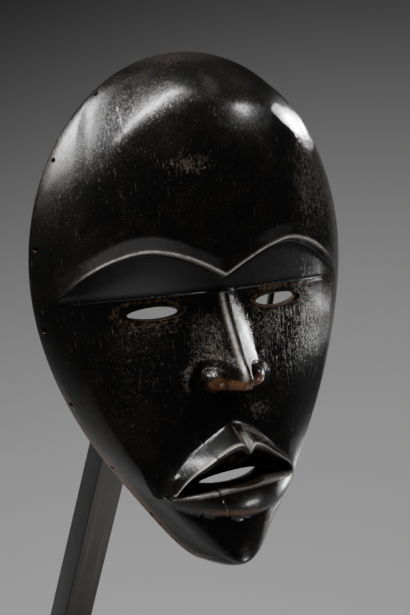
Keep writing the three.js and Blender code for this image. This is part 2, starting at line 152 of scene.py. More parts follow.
def nose_relief(m, z):
    under = ease(z, nose_bottom - 1.8, nose_bottom)
    top = 1 - ease(z, nose_top - 1, nose_top + 1)
    aside = m - nose_lean * np.clip((nose_top - z) / (nose_top - nose_bottom), 0, 1)
    across = np.clip((np.abs(aside) - nose_ridge_half_width) / flank_width(z), 0, 1)
    wedge = nose_rise(z) * (1 - across) ** 1.5 * top
    away = np.hypot(np.abs(aside) - wing_side, z - wing_level)
    wing = wing_rise * np.sqrt(np.clip(1 - (away / wing_radius) ** 2, 0, 1)) ** 0.9
    from_left = np.hypot(aside - left_arch_side, (z - left_arch_level) * arch_squash)
    from_right = np.hypot(aside - right_arch_side, z - right_arch_level)
    past_left_arch, past_right_arch = from_left - left_arch_radius, from_right - right_arch_radius
    past_arch = np.where(aside < 0, past_left_arch, past_right_arch)
    outer_fall = np.exp(-past_arch / arch_outer_fall)
    inner_fall = np.exp(-((past_arch / arch_inner_fall) ** 2))
    arch = arch_rise * np.where(past_arch > 0, outer_fall, inner_fall)
    arch = arch * ease(z, 84, 92) * (1 - ease(z, 108, 118))
    return under * np.maximum(wedge, wing) + arch * (1 - ease(wing, 0, 3))


# Mask, mouth
# A peaked upper lip juts out over a fuller lower lip. The mouth is cut crooked: its left corner
# hangs lower than the right one and ends in a small upright ridge. A flat channel is cut down
# the peak of the upper lip, and its end hangs below the lip's edge as a small point.
upper_lip_top = smooth_through([
    (-34, 40), (-29, 49.6), (-24, 56.3), (-17, 62.6), (-10, 67.6), (-3, 71.5),
    (1, 71), (11, 65.2), (18, 59.2), (25, 53.2), (34, 45),
])
upper_lip_draw = smooth_through([
    (-30, 40.5), (-27, 46.6), (-24, 50.8), (-20, 54.7), (-14, 60), (-7, 64),
    (1.5, 64.2), (7, 62.2), (14, 57.7), (22, 52.7), (32, 46),
])
lower_lip_draw = smooth_through(
    [(-30, 38.8), (-21, 40.4), (-14, 41.8), (-8, 43.2), (4, 44.8), (15, 45), (33, 42.8)]
)
lower_lip_foot = smooth_through([
    (-32, 36), (-28, 33.6), (-21, 31.2), (-14, 29.6), (-7, 28.8),
    (0, 28.6), (11, 29), (21, 30.7), (34, 38.5),
])
upper_lip_rise = smooth_through([(-34, 3), (-24, 10), (-12, 16), (0, 18), (14, 14), (26, 8), (34, 3)])
lower_lip_rise = smooth_through([(-32, 4), (-16, 8.2), (0, 10.6), (14, 10.2), (26, 6.8), (33, 4)])
channel_middle, channel_half_width, channel_depth = -1.1, 2.1, 1.5
corner_line = smooth_through([(35.8, -30.8), (39.5, -31.7), (44.5, -31.1), (49.3, -29.2)])


def upper_lip_edge(x):
    return np.minimum(upper_lip_draw(x), upper_lip_top(x) - 2) - 3.2 * bump(x, -1.5, 1.9)


def lower_lip_edge(x):
    return np.minimum(lower_lip_draw(x), upper_lip_edge(x) - 1)


def lower_lip_inside(x):
    return np.minimum(lower_lip_edge(x) + 2.4, upper_lip_edge(x) - 0.4)


def mouth_relief(x, z):
    ends = ease(x, -36, -31) * (1 - ease(x, 31, 36))
    top, edge = upper_lip_top(x), upper_lip_edge(x)
    inside, lower, foot = lower_lip_inside(x), lower_lip_edge(x), lower_lip_foot(x)
    upper_rise, lower_rise = upper_lip_rise(x), lower_lip_rise(x)
    over = 1.6 * np.exp(-np.maximum(z - top, 0) / 2.2)
    share = np.clip((top - z) / (top - edge), 0, 1)
    upper = mix(1.6, upper_rise, share**0.9)
    channel = 1 - ease(np.abs(x - channel_middle), channel_half_width - 0.5, channel_half_width)
    upper = upper - channel_depth * channel * ease(share, 0, 0.2)
    deep = mix(lower_rise - 1.5, -4.0, ease(edge - lower, 1, 8))
    inward = np.clip((edge - z) / (edge - inside), 0, 1)
    sunk = mix(upper_rise, deep, ease(inward, 0, 0.85))
    gap = mix(sunk, lower_rise, 1 - ease(z, lower, inside))
    out = np.clip((z - foot) / np.maximum(lower - foot, 1), 0, 1)
    belly = lower_rise * mix(out, np.sqrt(1 - (1 - out) ** 2), 0.8)
    relief = np.where(z > top, over, np.where(z > edge, upper, np.where(z > lower, gap, belly)))
    corner = 1.5 * bump(x, corner_line(z), 1.2) * ease(z, 34, 38) * (1 - ease(z, 48, 51))
    return ends * relief + corner


def forehead_relief(m, z):
    ridge = 0.5 * (1 - np.exp(-np.abs(m) / 14))
    return -ridge * ease(z, 158, 172) * (1 - ease(z, 218, 236))


def carved_face(x, z):
    m = x - face_middle
    upper = brow_relief(m, z) + nose_relief(m, z)
    return base_face(x, z) + upper + mouth_relief(x, z) + forehead_relief(m, z)


# Mask, laying the carving on the block
# A square grid is stretched over the egg. Its rows bend to follow the cut lines, so that every
# crisp edge is a clean line, and its last quarter turns back to make the side wall.
wall_share = 0.24


def beside_mouth(line, usual):
    return lambda x: mix(line(x), usual, ease(np.abs(x), 34, 48))


carved_lines = [
    (0, lambda x: 0 * x, 30),
    (28, beside_mouth(lower_lip_foot, 28), 20),
    (44, beside_mouth(lower_lip_edge, 44), 8),
    (46.4, beside_mouth(lower_lip_inside, 46.4), 24),
    (64, beside_mouth(upper_lip_edge, 64), 16),
    (71, beside_mouth(upper_lip_top, 71), 16),
    (86.7, lambda x: 0 * x + nose_bottom - 1.8, 5),
    (88.5, lambda x: 0 * x + nose_bottom, 20),
    (101, lambda x: 0 * x + 101, 40),
    (132, lambda x: eye_line(x - face_middle), 22),
    (147, lambda x: brow_crest(np.abs(x - face_middle)) - brow_drop, 7),
    (150.5, lambda x: brow_crest(np.abs(x - face_middle)), 14),
    (157, lambda x: brow_crest(np.abs(x - face_middle)) + brow_flare, 70),
    (mask_height, lambda x: 0 * x + mask_height, 0),
]


def disc_place(column, row):
    u = column * np.sqrt(1 - row**2 / 2)
    v = row * np.sqrt(1 - column**2 / 2)
    return np.minimum(np.hypot(u, v), 1), np.arctan2(v, u)


def face_spot(q, turn):
    inner = 1 - wall_share
    bend = np.clip((q - inner) / wall_share, 0, 1) * math.pi / 2
    corner = corner_round(np.sin(turn))
    s = np.where(q > inner, 1 - corner + corner * np.sin(bend), (1 - corner) * q / inner)
    v = s * np.sin(turn)
    return mask_half_width * s * np.cos(turn) * outline_swell(v), mask_height / 2 * (1 + v), bend


line_rows = np.array([2 * usual / mask_height - 1 for usual, level, rows in carved_lines])
row_groups = [
    np.linspace(start, end, rows, endpoint=False)
    for start, end, (usual, level, rows) in zip(line_rows, line_rows[1:], carved_lines)
]
grid_rows = np.concatenate(row_groups + [[1.0]])
grid_columns = np.linspace(-1, 1, 281)

row_shift = np.zeros((len(grid_rows), len(grid_columns)))
line_shift = np.zeros((len(carved_lines), len(grid_columns)))
for k, (usual, level, rows) in enumerate(carved_lines):
    q, turn = disc_place(grid_columns, line_rows[k])
    x, z, bend = face_spot(q, turn)
    line_shift[k] = (level(x) - z) * (1 - ease(q, 0.7, 0.765))
for i in range(len(grid_columns)):
    row_shift[:, i] = np.interp(grid_rows, line_rows, line_shift[:, i])


def hand_wobble(x, z, size):
    return np.array([noise.noise(Vector((a / size, b / size, size))) for a, b in zip(x, z)])


def outer_places(i, j):
    q, turn = disc_place(grid_columns[i], grid_rows[j])
    x, z, bend = face_spot(q, turn)
    z = z + row_shift[j, i]
    depth = carved_face(x, z)
    depth = depth + (0.45 * hand_wobble(x, z, 23.0) + 0.05 * hand_wobble(x, z, 7.0)) * np.cos(bend)
    depth = depth * np.cos(bend)
    soften = 1 - 0.006 * np.clip(1 - depth, 0, 1) ** 2
    return np.stack([x * soften, -depth, mask_height / 2 + (z - mask_height / 2) * soften], 1)


wall_thickness = 8.5
rim_width = 7.0
hollow_round = 0.38


def hollow_places(q, turn, less=0.0):
    inner = 0.55
    bend = np.clip((q - inner) / (1 - inner), 0, 1) * math.pi / 2
    s = np.where(q > inner, 1 - hollow_round + hollow_round * np.sin(bend), (1 - hollow_round) * q / inner)
    v = s * np.sin(turn)
    x = (mask_half_width - rim_width - less) * s * np.cos(turn) * outline_swell(v)
    z = mask_height / 2 + (mask_height / 2 - rim_width - less) * v
    depth = np.maximum(base_face(x, z) - wall_thickness - less, 2) * np.cos(bend)
    return np.stack([x, -depth, z], 1)


mask_lean = math.radians(33.9)
chin_point = Vector((0, -80.5, 240))
stand_up = Matrix.Scale(0.001, 4) @ Matrix.Translation(chin_point) @ Matrix.Rotation(-mask_lean, 4, "X")

shell = bmesh.new()
columns, rows = len(grid_columns) - 1, len(grid_rows) - 1
outer = bmesh.ops.create_grid(shell, x_segments=columns, y_segments=rows, size=1.0)["verts"]
flat = np.array([v.co for v in outer])
i = np.rint((flat[:, 0] + 1) / 2 * columns).astype(int)
j = np.rint((flat[:, 1] + 1) / 2 * rows).astype(int)
for v, place in zip(outer, outer_places(i, j)):
    v.co = place
outer_rim = [e for e in shell.edges if e.is_boundary]

hollow_cells = 70
hollow = bmesh.ops.create_grid(shell, x_segments=hollow_cells, y_segments=hollow_cells, size=1.0)["verts"]
flat = np.array([v.co for v in hollow])
places = hollow_places(*disc_place(flat[:, 0], flat[:, 1]))
adze = hand_wobble(places[:, 0], places[:, 2], 11.0) + 0.5 * hand_wobble(places[:, 0], places[:, 2], 5.0)
places[:, 1] += 0.5 * adze * np.clip(-places[:, 1] / 12, 0, 1)
for v, place in zip(hollow, places):
    v.co = place
hollow_set = set(hollow)
hollow_faces = [f for f in shell.faces if f.verts[0] in hollow_set]
for face in hollow_faces:
    face.material_index = 1
hollow_rim = [e for e in shell.edges if e.is_boundary and e.verts[0] in hollow_set]
filled = bmesh.ops.triangle_fill(shell, edges=outer_rim + hollow_rim, normal=(0, 1, 0), use_beauty=True)
for face in filled["geom"]:
    if isinstance(face, bmesh.types.BMFace):
        face.material_index = 1
bmesh.ops.recalc_face_normals(shell, faces=shell.faces[:])
mask_mesh = bpy.data.meshes.new("carved_mask")
shell.to_mesh(mask_mesh)
shell.free()
carved_mask = bpy.data.objects.new("carved_mask", mask_mesh)
bpy.context.scene.collection.objects.link(carved_mask)


# Mask, eye slits, mouth slit and the small holes round the rim
# The slits are sawn and knifed through the wall, narrower behind than in front. The holes are
# burnt in from the side near the back edge. They once held the costume's cords.
cuts = bmesh.new()


def cut_slit(x, z, stations, tilt):
    """Cut a slit. A station is a depth, the length and height there, and the shift aside and down."""
    loop = bmesh.ops.create_circle(cuts, cap_ends=True, segments=40, radius=1.0)["verts"]
    face = loop[0].link_faces[0]
    outline = [(v.co.x, v.co.y) for v in loop]
    turn = Matrix.Rotation(tilt, 2)
    current = loop
    for k, (depth, length, height, aside, drop) in enumerate(stations):
        if k:
            grown = bmesh.ops.extrude_face_region(cuts, geom=[face])["geom"]
            if k > 1:
                bmesh.ops.delete(cuts, geom=[face], context="FACES_ONLY")
            face = next(g for g in grown if isinstance(g, bmesh.types.BMFace))
            matching = {tuple(np.round(v.co, 5)): v for v in face.verts}
            current = [matching[tuple(np.round(v.co, 5))] for v in current]
        for v, (a, b) in zip(current, outline):
            along = a * length / 2
            level = math.copysign(abs(b) ** 1.15, b) * height / 2
            v.co = Vector((x + aside + along, -depth, z + level - drop + tilt * along))
    return face


def eye_stations(front, back, aside):
    """The slit is a wide funnel in front and a narrow slot behind; share says how far it is funnel."""
    funnel = [
        (62, 1.0, 9.4, 0.0), (40, 1.0, 9.2, 0.0), (36, 0.8, 7.0, 0.5),
        (32, 0.25, 5.8, 0.9), (28, 0.0, 5.6, 1.0), (-10, 0.0, 5.6, 1.0),
    ]
    return [
        (depth, mix(back, front, share), height, (1 - share) * aside, drop)
        for depth, share, height, drop in funnel
    ]


left_eye, right_eye, eye_level = -35.2, 30.8, 125.3
cut_slit(left_eye, eye_level, eye_stations(29.6, 24.0, 3.0), 0.0)
cut_slit(right_eye, eye_level, eye_stations(32.6, 21.5, 0.8), 0.0)
mouth_middle, mouth_level, mouth_tilt = -2.4, 46.4, 0.1
mouth_stations = [(75, 31.0, 5.4, 0.0, 0.0), (36, 30.0, 5.2, 0.0, 0.0), (-10, 30.0, 5.6, 0.0, 0.3)]
cut_slit(mouth_middle, mouth_level, mouth_stations, mouth_tilt)


def rim_width_at(z):
    v = 2 * z / mask_height - 1
    return mask_half_width * math.sqrt(1 - v * v) * outline_swell(v)


hole_depth, hole_radius, drill_length = 4.9, 1.3, 26
left_holes = [11.3, 20.3, 25.8, 50.4, 82.4, 118, 156.2, 196.2, 224.4]
right_holes = [28.8, 58.4, 88, 117.6, 147.2, 176.8, 206.4]
for side, levels in ((-1, left_holes), (1, right_holes)):
    for z in levels:
        edge_slope = rim_width_at(z + 0.5) - rim_width_at(z - 0.5)
        inward = Matrix.Rotation(math.atan2(-side, edge_slope), 4, "Y")
        place = Matrix.Translation((side * rim_width_at(z), -hole_depth, z)) @ inward
        bmesh.ops.create_cone(
            cuts, cap_ends=True, segments=12, radius1=hole_radius, radius2=hole_radius,
            depth=drill_length, matrix=place,
        )
bmesh.ops.recalc_face_normals(cuts, faces=cuts.faces[:])
for face in cuts.faces:
    face.material_index = 2
cut_mesh = bpy.data.meshes.new("cuts")
cuts.to_mesh(cut_mesh)
cuts.free()
cutter = bpy.data.objects.new("cutter", cut_mesh)
bpy.context.scene.collection.objects.link(cutter)
sawing = carved_mask.modifiers.new("slits", "BOOLEAN")
sawing.operation = "DIFFERENCE"
sawing.solver = "EXACT"
sawing.object = cutter
for material_slot in range(3):
    carved_mask.data.materials.append(None)
    cutter.data.materials.append(None)
finished = bpy.data.meshes.new_from_object(carved_mask.evaluated_get(bpy.context.evaluated_depsgraph_get()))
carved_mask.modifiers.remove(sawing)
carved_mask.data = finished
bpy.data.objects.remove(cutter)


# Mask, how the wood has aged
# The face is stained black and oiled to a gloss. Wear has brought the brown wood back on the
# nose, the lower lip and the rim, and a drying crack runs down past the mouth. Pale painted
# highlights lie along the brow crests, the nose ridge and the lip lines, partly on worn wood,
# and a painted grey reflection fills the eye sockets and the flare over the left brow.
crack = smooth_through([
    (5, -10.6), (11, -8.3), (19, -8.5), (29, -7.8), (40, -13.2),
    (60, -15.9), (63, -15.6), (67, -16.4), (78, -12),
])
crown_crack = smooth_through([(202, -42.7), (211, -41), (219, -39.6)])


def store(mesh, name, values):
    mesh.attributes.new(name, "FLOAT", "POINT").data.foreach_set("value", np.asarray(values, np.float32))


def store_most(mesh, name, marks):
    """Keep the strongest of several marks of wear at each point."""
    store(mesh, name, np.clip(np.maximum.reduce(marks), 0, 1))


mesh = carved_mask.data
at = np.zeros(len(mesh.vertices) * 3)
mesh.vertices.foreach_get("co", at)
x, z = at[0::3], at[2::3]
depth = -at[1::3]
m = x - face_middle
crack_foot, crack_head = 5, 78
crown_crack_foot, crown_crack_head = 202, 219
past_crack = np.maximum(crack_foot - z, 0) + np.maximum(z - crack_head, 0)
past_crown_crack = np.maximum(crown_crack_foot - z, 0) + np.maximum(z - crown_crack_head, 0)
crack_away = np.hypot(x - crack(z), past_crack)
crown_away = np.hypot(x - crown_crack(z), past_crown_crack)
store(mesh, "crack_away", np.minimum(crack_away, crown_away * 1.4))

nose_end = bump(z, 89.8, 3.8) * (np.abs(m) < 17.5) * ease(depth, 44, 49)
wings_end = bump(np.abs(m - nose_lean), wing_side, 5.5) * bump(z, 90.6, 4.4)
lip_foot = bump(z, lower_lip_foot(x) + 2.5, 2.6) * bump(x, -6, 24) * 0.75
left_patch = bump(x, -17, 9) * bump(z, 192, 5)
upper_patch = 0.7 * bump(x, 3, 4) * bump(z, 205, 6)
forehead_patch = np.maximum(left_patch, upper_patch) * 0.42
rim_reach = mix(9, 4, ease(z, 40, 90))
rim_foot = 0.74 * (x < 4) * (1 - ease(z, 45, 95)) * (1 - ease(depth, rim_reach, rim_reach + 6))
store_most(mesh, "worn", [nose_end, wings_end, lip_foot, forehead_patch, rim_foot])

left_rim = 0.8 * (x < 4) * (1 - ease(z, 62, 120)) * (1 - ease(depth, 4.5, 8))
right_side = ease(x, 56, 66) * bump(z, 112, 42) * 0.4
crown = ease(z, 230, 239) * 0.3
upper_side = ease(-x, 40, 62) * ease(z, 150, 190) * (1 - ease(depth, 14, 26)) * 0.3
channel_point = bump(x, channel_middle, 2.2) * bump(z, upper_lip_edge(x) + 3, 3.5)
store_most(mesh, "faded", [left_rim, right_side, crown, upper_side, channel_point])

brushed = 0.15 * ease(-x, 22, 40) * ease(z, 160, 190) * (1 - ease(depth, 34, 40))
nose_left = 1.6 * bump(m, -10, 7) * bump(z, 110, 14)
from_arch = np.hypot(m - nose_lean - left_arch_side, (z - left_arch_level) * arch_squash)
arch_left = bump(from_arch, 11.5, 2.2) * (z > 88)
nose_right = bump(m, 22, 16) * bump(z, 112, 12)
right_cheek = 0.8 * bump(m, 50, 16) * bump(z, 112, 22)
temple = ease(m, 34, 50) * bump(z, 178, 32)
over_brow = 0.2 * bump(m, -24, 34) * bump(z, 178, 20)
patch = 1.1 * bump(x, -17, 10) * bump(z, 192, 5)
over_lip = bump(x, 12, 10) * bump(z, 76, 7) * 0.8
cheek = 0.35 * bump(np.abs(m), 36, 22) * bump(z, 100, 26)
below_eyes = 0.8 * bump(z, 118, 4) * bump(np.abs(m), 32, 18)
beside_nose = [nose_left, arch_left, nose_right, right_cheek]
store_most(mesh, "scuffed", beside_nose + [brushed, temple, over_brow, patch, over_lip, cheek, below_eyes])

crest_level = brow_crest(np.abs(m))
over_crest = z - crest_level
# Painted reflection: a dim grey sheen in the eye sockets and on the flare over the left brow, strongest on
# the left.
in_socket = ease(z, eye_line(m) + 1, eye_line(m) + 4) * (1 - ease(over_crest, -4, -2))
left_brow = bump(m, -36, 24)
flare_reach = 8 * np.sqrt(np.clip(1 - ((m + 34) / 33) ** 2, 0.01, 1))
on_flare = ease(over_crest, 0.8, 1.4) * (1 - ease(over_crest, 0.7 * flare_reach, flare_reach))
painted_sheen = in_socket * (0.25 + 0.75 * left_brow) + 0.28 * on_flare * left_brow
store(mesh, "painted_sheen", np.clip(painted_sheen, 0, 1))

# Painted highlight with some real wear: thin pale lines along the brow crests, the nose ridge and the lip
# lines.
crest = bump(over_crest, -0.2, 0.75) * (1 - ease(np.abs(m), 54, 69))
down_nose = np.clip((nose_top - z) / (nose_top - nose_bottom), 0, 1)
ridge = bump(m, nose_lean * down_nose - 1.1, 0.9) * ease(z, 89, 94) * (1 - ease(z, 131, 133))
on_lips = np.abs(x) < 31
lip_crest = 0.45 * bump(z, upper_lip_top(x) - 0.8, 0.8) * ease(x, 1, 4) * on_lips
upper_line = 0.6 * bump(z, upper_lip_edge(x), 0.5) * on_lips
lower_line = 0.75 * bump(z, lower_lip_edge(x), 0.8) * on_lips
store_most(mesh, "edge", [crest, ridge, lip_crest, upper_line, lower_line])

from_left_slit = np.hypot((x - left_eye) / 15.6, (z - eye_level) / 5.6)
from_right_slit = np.hypot((x - right_eye) / 17.0, (z - eye_level) / 5.6)
round_slits = 0.6 * bump(np.minimum(from_left_slit, from_right_slit), 0.96, 0.12)
over_slits = bump(z, 131.2, 1.3) * (bump(x, -28, 10) + bump(x, 22, 7))
store_most(mesh, "ochre", [round_slits, over_slits])

mesh.transform(stand_up)
mesh.polygons.foreach_set("use_smooth", [True] * len(mesh.polygons))
mesh.set_sharp_from_angle(angle=math.radians(48))


def finish_of(name, roughness, **sockets):
    material = bpy.data.materials.new(name)
    material.use_nodes = True
    shader = material.node_tree.nodes["Principled BSDF"]
    shader.inputs["Roughness"].default_value = roughness
    for socket, value in sockets.items():
        shader.inputs[socket.replace("_", " ")].default_value = value
    return material, shader


def node(material, kind, inputs=(), **settings):
    made = material.node_tree.nodes.new("ShaderNode" + kind)
    for name, value in settings.items():
        setattr(made, name, value)
    for name, value in dict(inputs).items():
        if isinstance(value, bpy.types.NodeSocket):
            material.node_tree.links.new(value, made.inputs[name])
        else:
            made.inputs[name].default_value = value
    return made


def join(material, value, shader, socket):
    material.node_tree.links.new(value, shader.inputs[socket])


def noise_at(material, place, scale, detail=3.0, rough=0.6, twist=0.0):
    values = {"Vector": place, "Scale": scale, "Detail": detail, "Roughness": rough, "Distortion": twist}
    return node(material, "TexNoise", values).outputs[0]


def span(material, value, start, end, low=0.0, high=1.0):
    values = {"Value": value, "From Min": start, "From Max": end, "To Min": low, "To Max": high}
    return node(material, "MapRange", values, interpolation_type="SMOOTHSTEP").outputs[0]


def sums(material, kind, a, b):
    return node(material, "Math", {0: a, 1: b}, operation=kind).outputs[0]


def plus(material, a, b):
    return sums(material, "ADD", a, b)


def times(material, a, b):
    return sums(material, "MULTIPLY", a, b)


def stronger(material, a, b):
    return sums(material, "MAXIMUM", a, b)


def blend_colours(material, share, a, b):
    return node(material, "MixRGB", {"Fac": share, "Color1": a, "Color2": b}).outputs[0]


def read(material, name):
    return node(material, "Attribute", attribute_name=name).outputs["Fac"]


lift_back = Matrix.Rotation(mask_lean, 3, "X")


def on_the_mask(material):
    """The place on the mask in millimetres, with the mask stood upright and its chin at zero."""
    place = node(material, "TexCoord").outputs["Object"]
    values = {
        "Vector": place,
        "Scale": (1000, 1000, 1000),
        "Rotation": (mask_lean, 0, 0),
        "Location": -(lift_back @ chin_point),
    }
    return node(material, "Mapping", values).outputs[0]


def streaks(material, place, turn, fine, more, start, end):
    """Thin straight scratches along one direction, closer together where more are asked for."""
    values = {"Vector": place, "Rotation": (0, turn, 0), "Scale": (1.0, 0.5, 0.07)}
    stretched = node(material, "Mapping", values).outputs[0]
    uneven = noise_at(material, stretched, fine, 2.0, 0.5, 0.4)
    return span(material, plus(material, uneven, more), start, end)


def thin_lines(material, place, scale, width):
    """Fine crooked lines, drawn where a slow noise crosses its middle."""
    slow = noise_at(material, place, scale, 3.0, 0.6, 0.5)
    away = sums(material, "ABSOLUTE", sums(material, "SUBTRACT", slow, 0.5), 0.0)
    return span(material, away, width * 0.3, width, 1.0, 0.0)


deep_black, soft_black = (0.0048, 0.0045, 0.0042, 1), (0.011, 0.009, 0.0075, 1)
sheen_grey, faded_brown = (0.1, 0.1, 0.101, 1), (0.055, 0.043, 0.037, 1)
fleck_tan, scratch_brown, line_grey = (0.2, 0.15, 0.115, 1), (0.07, 0.058, 0.048, 1), (0.22, 0.2, 0.18, 1)
worn_and_highlight_pale, earth_ochre = (0.62, 0.57, 0.52, 1), (0.24, 0.13, 0.055, 1)
dark_brown, light_brown = (0.05, 0.017, 0.008, 1), (0.24, 0.105, 0.045, 1)
crack_black = (0.0015, 0.001, 0.001, 1)

black_wood, shader = finish_of("oiled_black_wood", 0.3)
place = on_the_mask(black_wood)
worn = read(black_wood, "worn")
edge = read(black_wood, "edge")
cloud = noise_at(black_wood, place, 0.035, 5.0, 0.62, 0.6)
grit = noise_at(black_wood, place, 0.55, 6.0, 0.72)
fleck = noise_at(black_wood, place, 1.7, 3.0, 0.65)
scuffed = read(black_wood, "scuffed")
more = times(black_wood, scuffed, 0.10)
scratch_a = streaks(black_wood, place, 0.5, 1.7, more, 0.70, 0.75)
scratch_b = streaks(black_wood, place, -0.75, 2.1, more, 0.71, 0.76)
scratch_c = streaks(black_wood, place, 0.25, 1.6, more, 0.73, 0.78)
scratches = stronger(black_wood, stronger(black_wood, scratch_a, scratch_b), scratch_c)
long_lines = thin_lines(black_wood, place, 0.2, 0.012)
short_lines = thin_lines(black_wood, place, 0.45, 0.016)
crooked = stronger(black_wood, long_lines, short_lines)
broken = span(black_wood, plus(black_wood, grit, times(black_wood, scuffed, 0.3)), 0.62, 0.78)
crooked = times(black_wood, crooked, broken)
rubbed = span(black_wood, cloud, 0.46, 0.66)
colour = blend_colours(black_wood, rubbed, deep_black, soft_black)
# Painted reflection: the sockets and the flare over the left brow are painted grey.
colour = blend_colours(black_wood, read(black_wood, "painted_sheen"), colour, sheen_grey)
speck_share = plus(black_wood, fleck, times(black_wood, cloud, 0.3))
speck_share = plus(black_wood, speck_share, times(black_wood, scuffed, 0.14))
specks = span(black_wood, speck_share, 0.83, 0.9)
specks = times(black_wood, specks, span(black_wood, grit, 0.42, 0.56))
colour = blend_colours(black_wood, times(black_wood, specks, 0.8), colour, fleck_tan)
colour = blend_colours(black_wood, times(black_wood, scratches, 0.5), colour, scratch_brown)
colour = blend_colours(black_wood, times(black_wood, crooked, 0.75), colour, line_grey)
# Painted highlight, partly worn wood: the crest, ridge and lip lines are painted pale.
lit_edge = times(black_wood, edge, span(black_wood, grit, 0.3, 0.6, 0.35, 1.0))
colour = blend_colours(black_wood, lit_edge, colour, worn_and_highlight_pale)
faded = plus(black_wood, read(black_wood, "faded"), times(black_wood, fleck, 0.9))
faded = span(black_wood, faded, 0.62, 1.1)
colour = blend_colours(black_wood, faded, colour, faded_brown)
bare = span(black_wood, plus(black_wood, worn, times(black_wood, grit, 0.8)), 0.75, 1.15)
mottle = span(black_wood, fleck, 0.3, 0.7)
brown = blend_colours(black_wood, mottle, dark_brown, light_brown)
colour = blend_colours(black_wood, bare, colour, brown)
ochre = times(black_wood, read(black_wood, "ochre"), span(black_wood, grit, 0.46, 0.62))
ochre = times(black_wood, ochre, 0.85)
colour = blend_colours(black_wood, ochre, colour, earth_ochre)
split = span(black_wood, read(black_wood, "crack_away"), 0.16, 0.5)
colour = blend_colours(black_wood, split, crack_black, colour)
join(black_wood, colour, shader, "Base Color")
gloss = span(black_wood, cloud, 0.35, 0.7, 0.13, 0.2)
gloss = plus(black_wood, gloss, times(black_wood, span(black_wood, fleck, 0.5, 0.7), 0.13))
gloss = plus(black_wood, gloss, times(black_wood, stronger(black_wood, bare, faded), 0.16))
gloss = plus(black_wood, gloss, times(black_wood, stronger(black_wood, scratches, crooked), 0.3))
gloss = sums(black_wood, "SUBTRACT", gloss, times(black_wood, edge, 0.05))
join(black_wood, gloss, shader, "Roughness")
pores = times(black_wood, span(black_wood, fleck, 0.3, 0.5), 0.22)
height = sums(black_wood, "SUBTRACT", pores, times(black_wood, scratches, 0.12))
height = plus(black_wood, height, times(black_wood, split, 1.6))
height = plus(black_wood, height, times(black_wood, noise_at(black_wood, place, 0.12, 1.0), 0.8))
dents = node(black_wood, "Bump", {"Strength": 0.55, "Distance": 0.00022, "Height": height})
join(black_wood, dents.outputs[0], shader, "Normal")

inside_wood, shader = finish_of("bare_wood_inside", 0.62)
place = on_the_mask(inside_wood)
stretched = node(inside_wood, "Mapping", {"Vector": place, "Scale": (1, 1, 0.12)}).outputs[0]
grain = noise_at(inside_wood, stretched, 0.9, 5.0, 0.65, 0.5)
handled = noise_at(inside_wood, place, 0.03, 4.0, 0.6, 0.8)
colour = blend_colours(inside_wood, grain, (0.028, 0.014, 0.008, 1), (0.10, 0.052, 0.028, 1))
stained = span(inside_wood, handled, 0.42, 0.66)
colour = blend_colours(inside_wood, stained, colour, (0.016, 0.010, 0.007, 1))
join(inside_wood, colour, shader, "Base Color")
join(inside_wood, span(inside_wood, handled, 0.4, 0.7, 0.5, 0.72), shader, "Roughness")
facets = node(inside_wood, "TexVoronoi", {"Vector": place, "Scale": 0.09}, feature="SMOOTH_F1")
height = plus(inside_wood, times(inside_wood, facets.outputs[0], 1.4), times(inside_wood, grain, 0.25))
dents = node(inside_wood, "Bump", {"Strength": 0.7, "Distance": 0.0006, "Height": height})
join(inside_wood, dents.outputs[0], shader, "Normal")

cut_wood, shader = finish_of("cut_wood", 0.7)
place = on_the_mask(cut_wood)
grit = noise_at(cut_wood, place, 0.5, 4.0, 0.65)
mottle = span(cut_wood, grit, 0.4, 0.7)
colour = blend_colours(cut_wood, mottle, (0.022, 0.012, 0.008, 1), (0.13, 0.07, 0.035, 1))
join(cut_wood, colour, shader, "Base Color")
dents = node(cut_wood, "Bump", {"Strength": 0.6, "Distance": 0.0003, "Height": grit})
join(cut_wood, dents.outputs[0], shader, "Normal")

for slot, material in enumerate((black_wood, inside_wood, cut_wood)):
    carved_mask.data.materials[slot] = material
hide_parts("mask")
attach(carved_mask, "root")

# Bracket
# Two thin steel rods are bent into a fork that holds the mask inside its hollow, with a short
# prop down to the chin. They are welded to a thicker arm, whose end plugs into the post.
fork_radius, fork_bend = 0.0015, 0.010
arm_radius, arm_bend = 0.003, 0.009
fork_foot = 58
post_top = 0.276
post_set_back = 0.028
plug_length = 0.024


def on_mask(x, forward, along):
    return stand_up @ Vector((x, -forward, along))


def bent(points, radius, steps=10):
    line = [points[0]]
    for before, corner, after in zip(points, points[1:], points[2:]):
        start = corner.lerp(before, radius / (corner - before).length)
        end = corner.lerp(after, radius / (corner - after).length)
        for k in range(steps + 1):
            t = k / steps
            line.append(start.lerp(corner, t).lerp(corner.lerp(end, t), t))
    return line + [points[-1]]


def rod_mesh(name, lines, radius):
    drawn = bpy.data.curves.new(name, "CURVE")
    drawn.dimensions = "3D"
    drawn.bevel_depth = radius
    drawn.bevel_resolution = 5
    drawn.use_fill_caps = True
    for line in lines:
        spline = drawn.splines.new("POLY")
        spline.points.add(len(line) - 1)
        for point, place in zip(spline.points, line):
            point.co = (*place, 1)
    holder = bpy.data.objects.new(name, drawn)
    bpy.context.scene.collection.objects.link(holder)
    made = bpy.data.meshes.new_from_object(holder.evaluated_get(bpy.context.evaluated_depsgraph_get()))
    bpy.data.objects.remove(holder)
    return made


fork_lines = []
for side in (-1, 1):
    turn = np.array([math.radians(46) if side > 0 else math.pi - math.radians(46)])
    tip = stand_up @ Vector(hollow_places(np.array([0.9]), turn, 1.3)[0])
    prong = [tip, on_mask(side * 56, 0, 171), on_mask(side * 27, 0, fork_foot), on_mask(0, 0, fork_foot)]
    fork_lines.append(bent(prong, fork_bend))
chin_tip = stand_up @ Vector(hollow_places(np.array([0.96]), np.array([-math.pi / 2]), 1.3)[0])
crossbar = on_mask(0, 0, fork_foot)
fork_lines.append(bent([crossbar, on_mask(0, -6, 38), chin_tip], fork_bend))
arm_end = Vector((0, post_set_back, post_top - plug_length))
arm_line = bent([crossbar, Vector((0, post_set_back, crossbar.z)), arm_end], arm_bend)

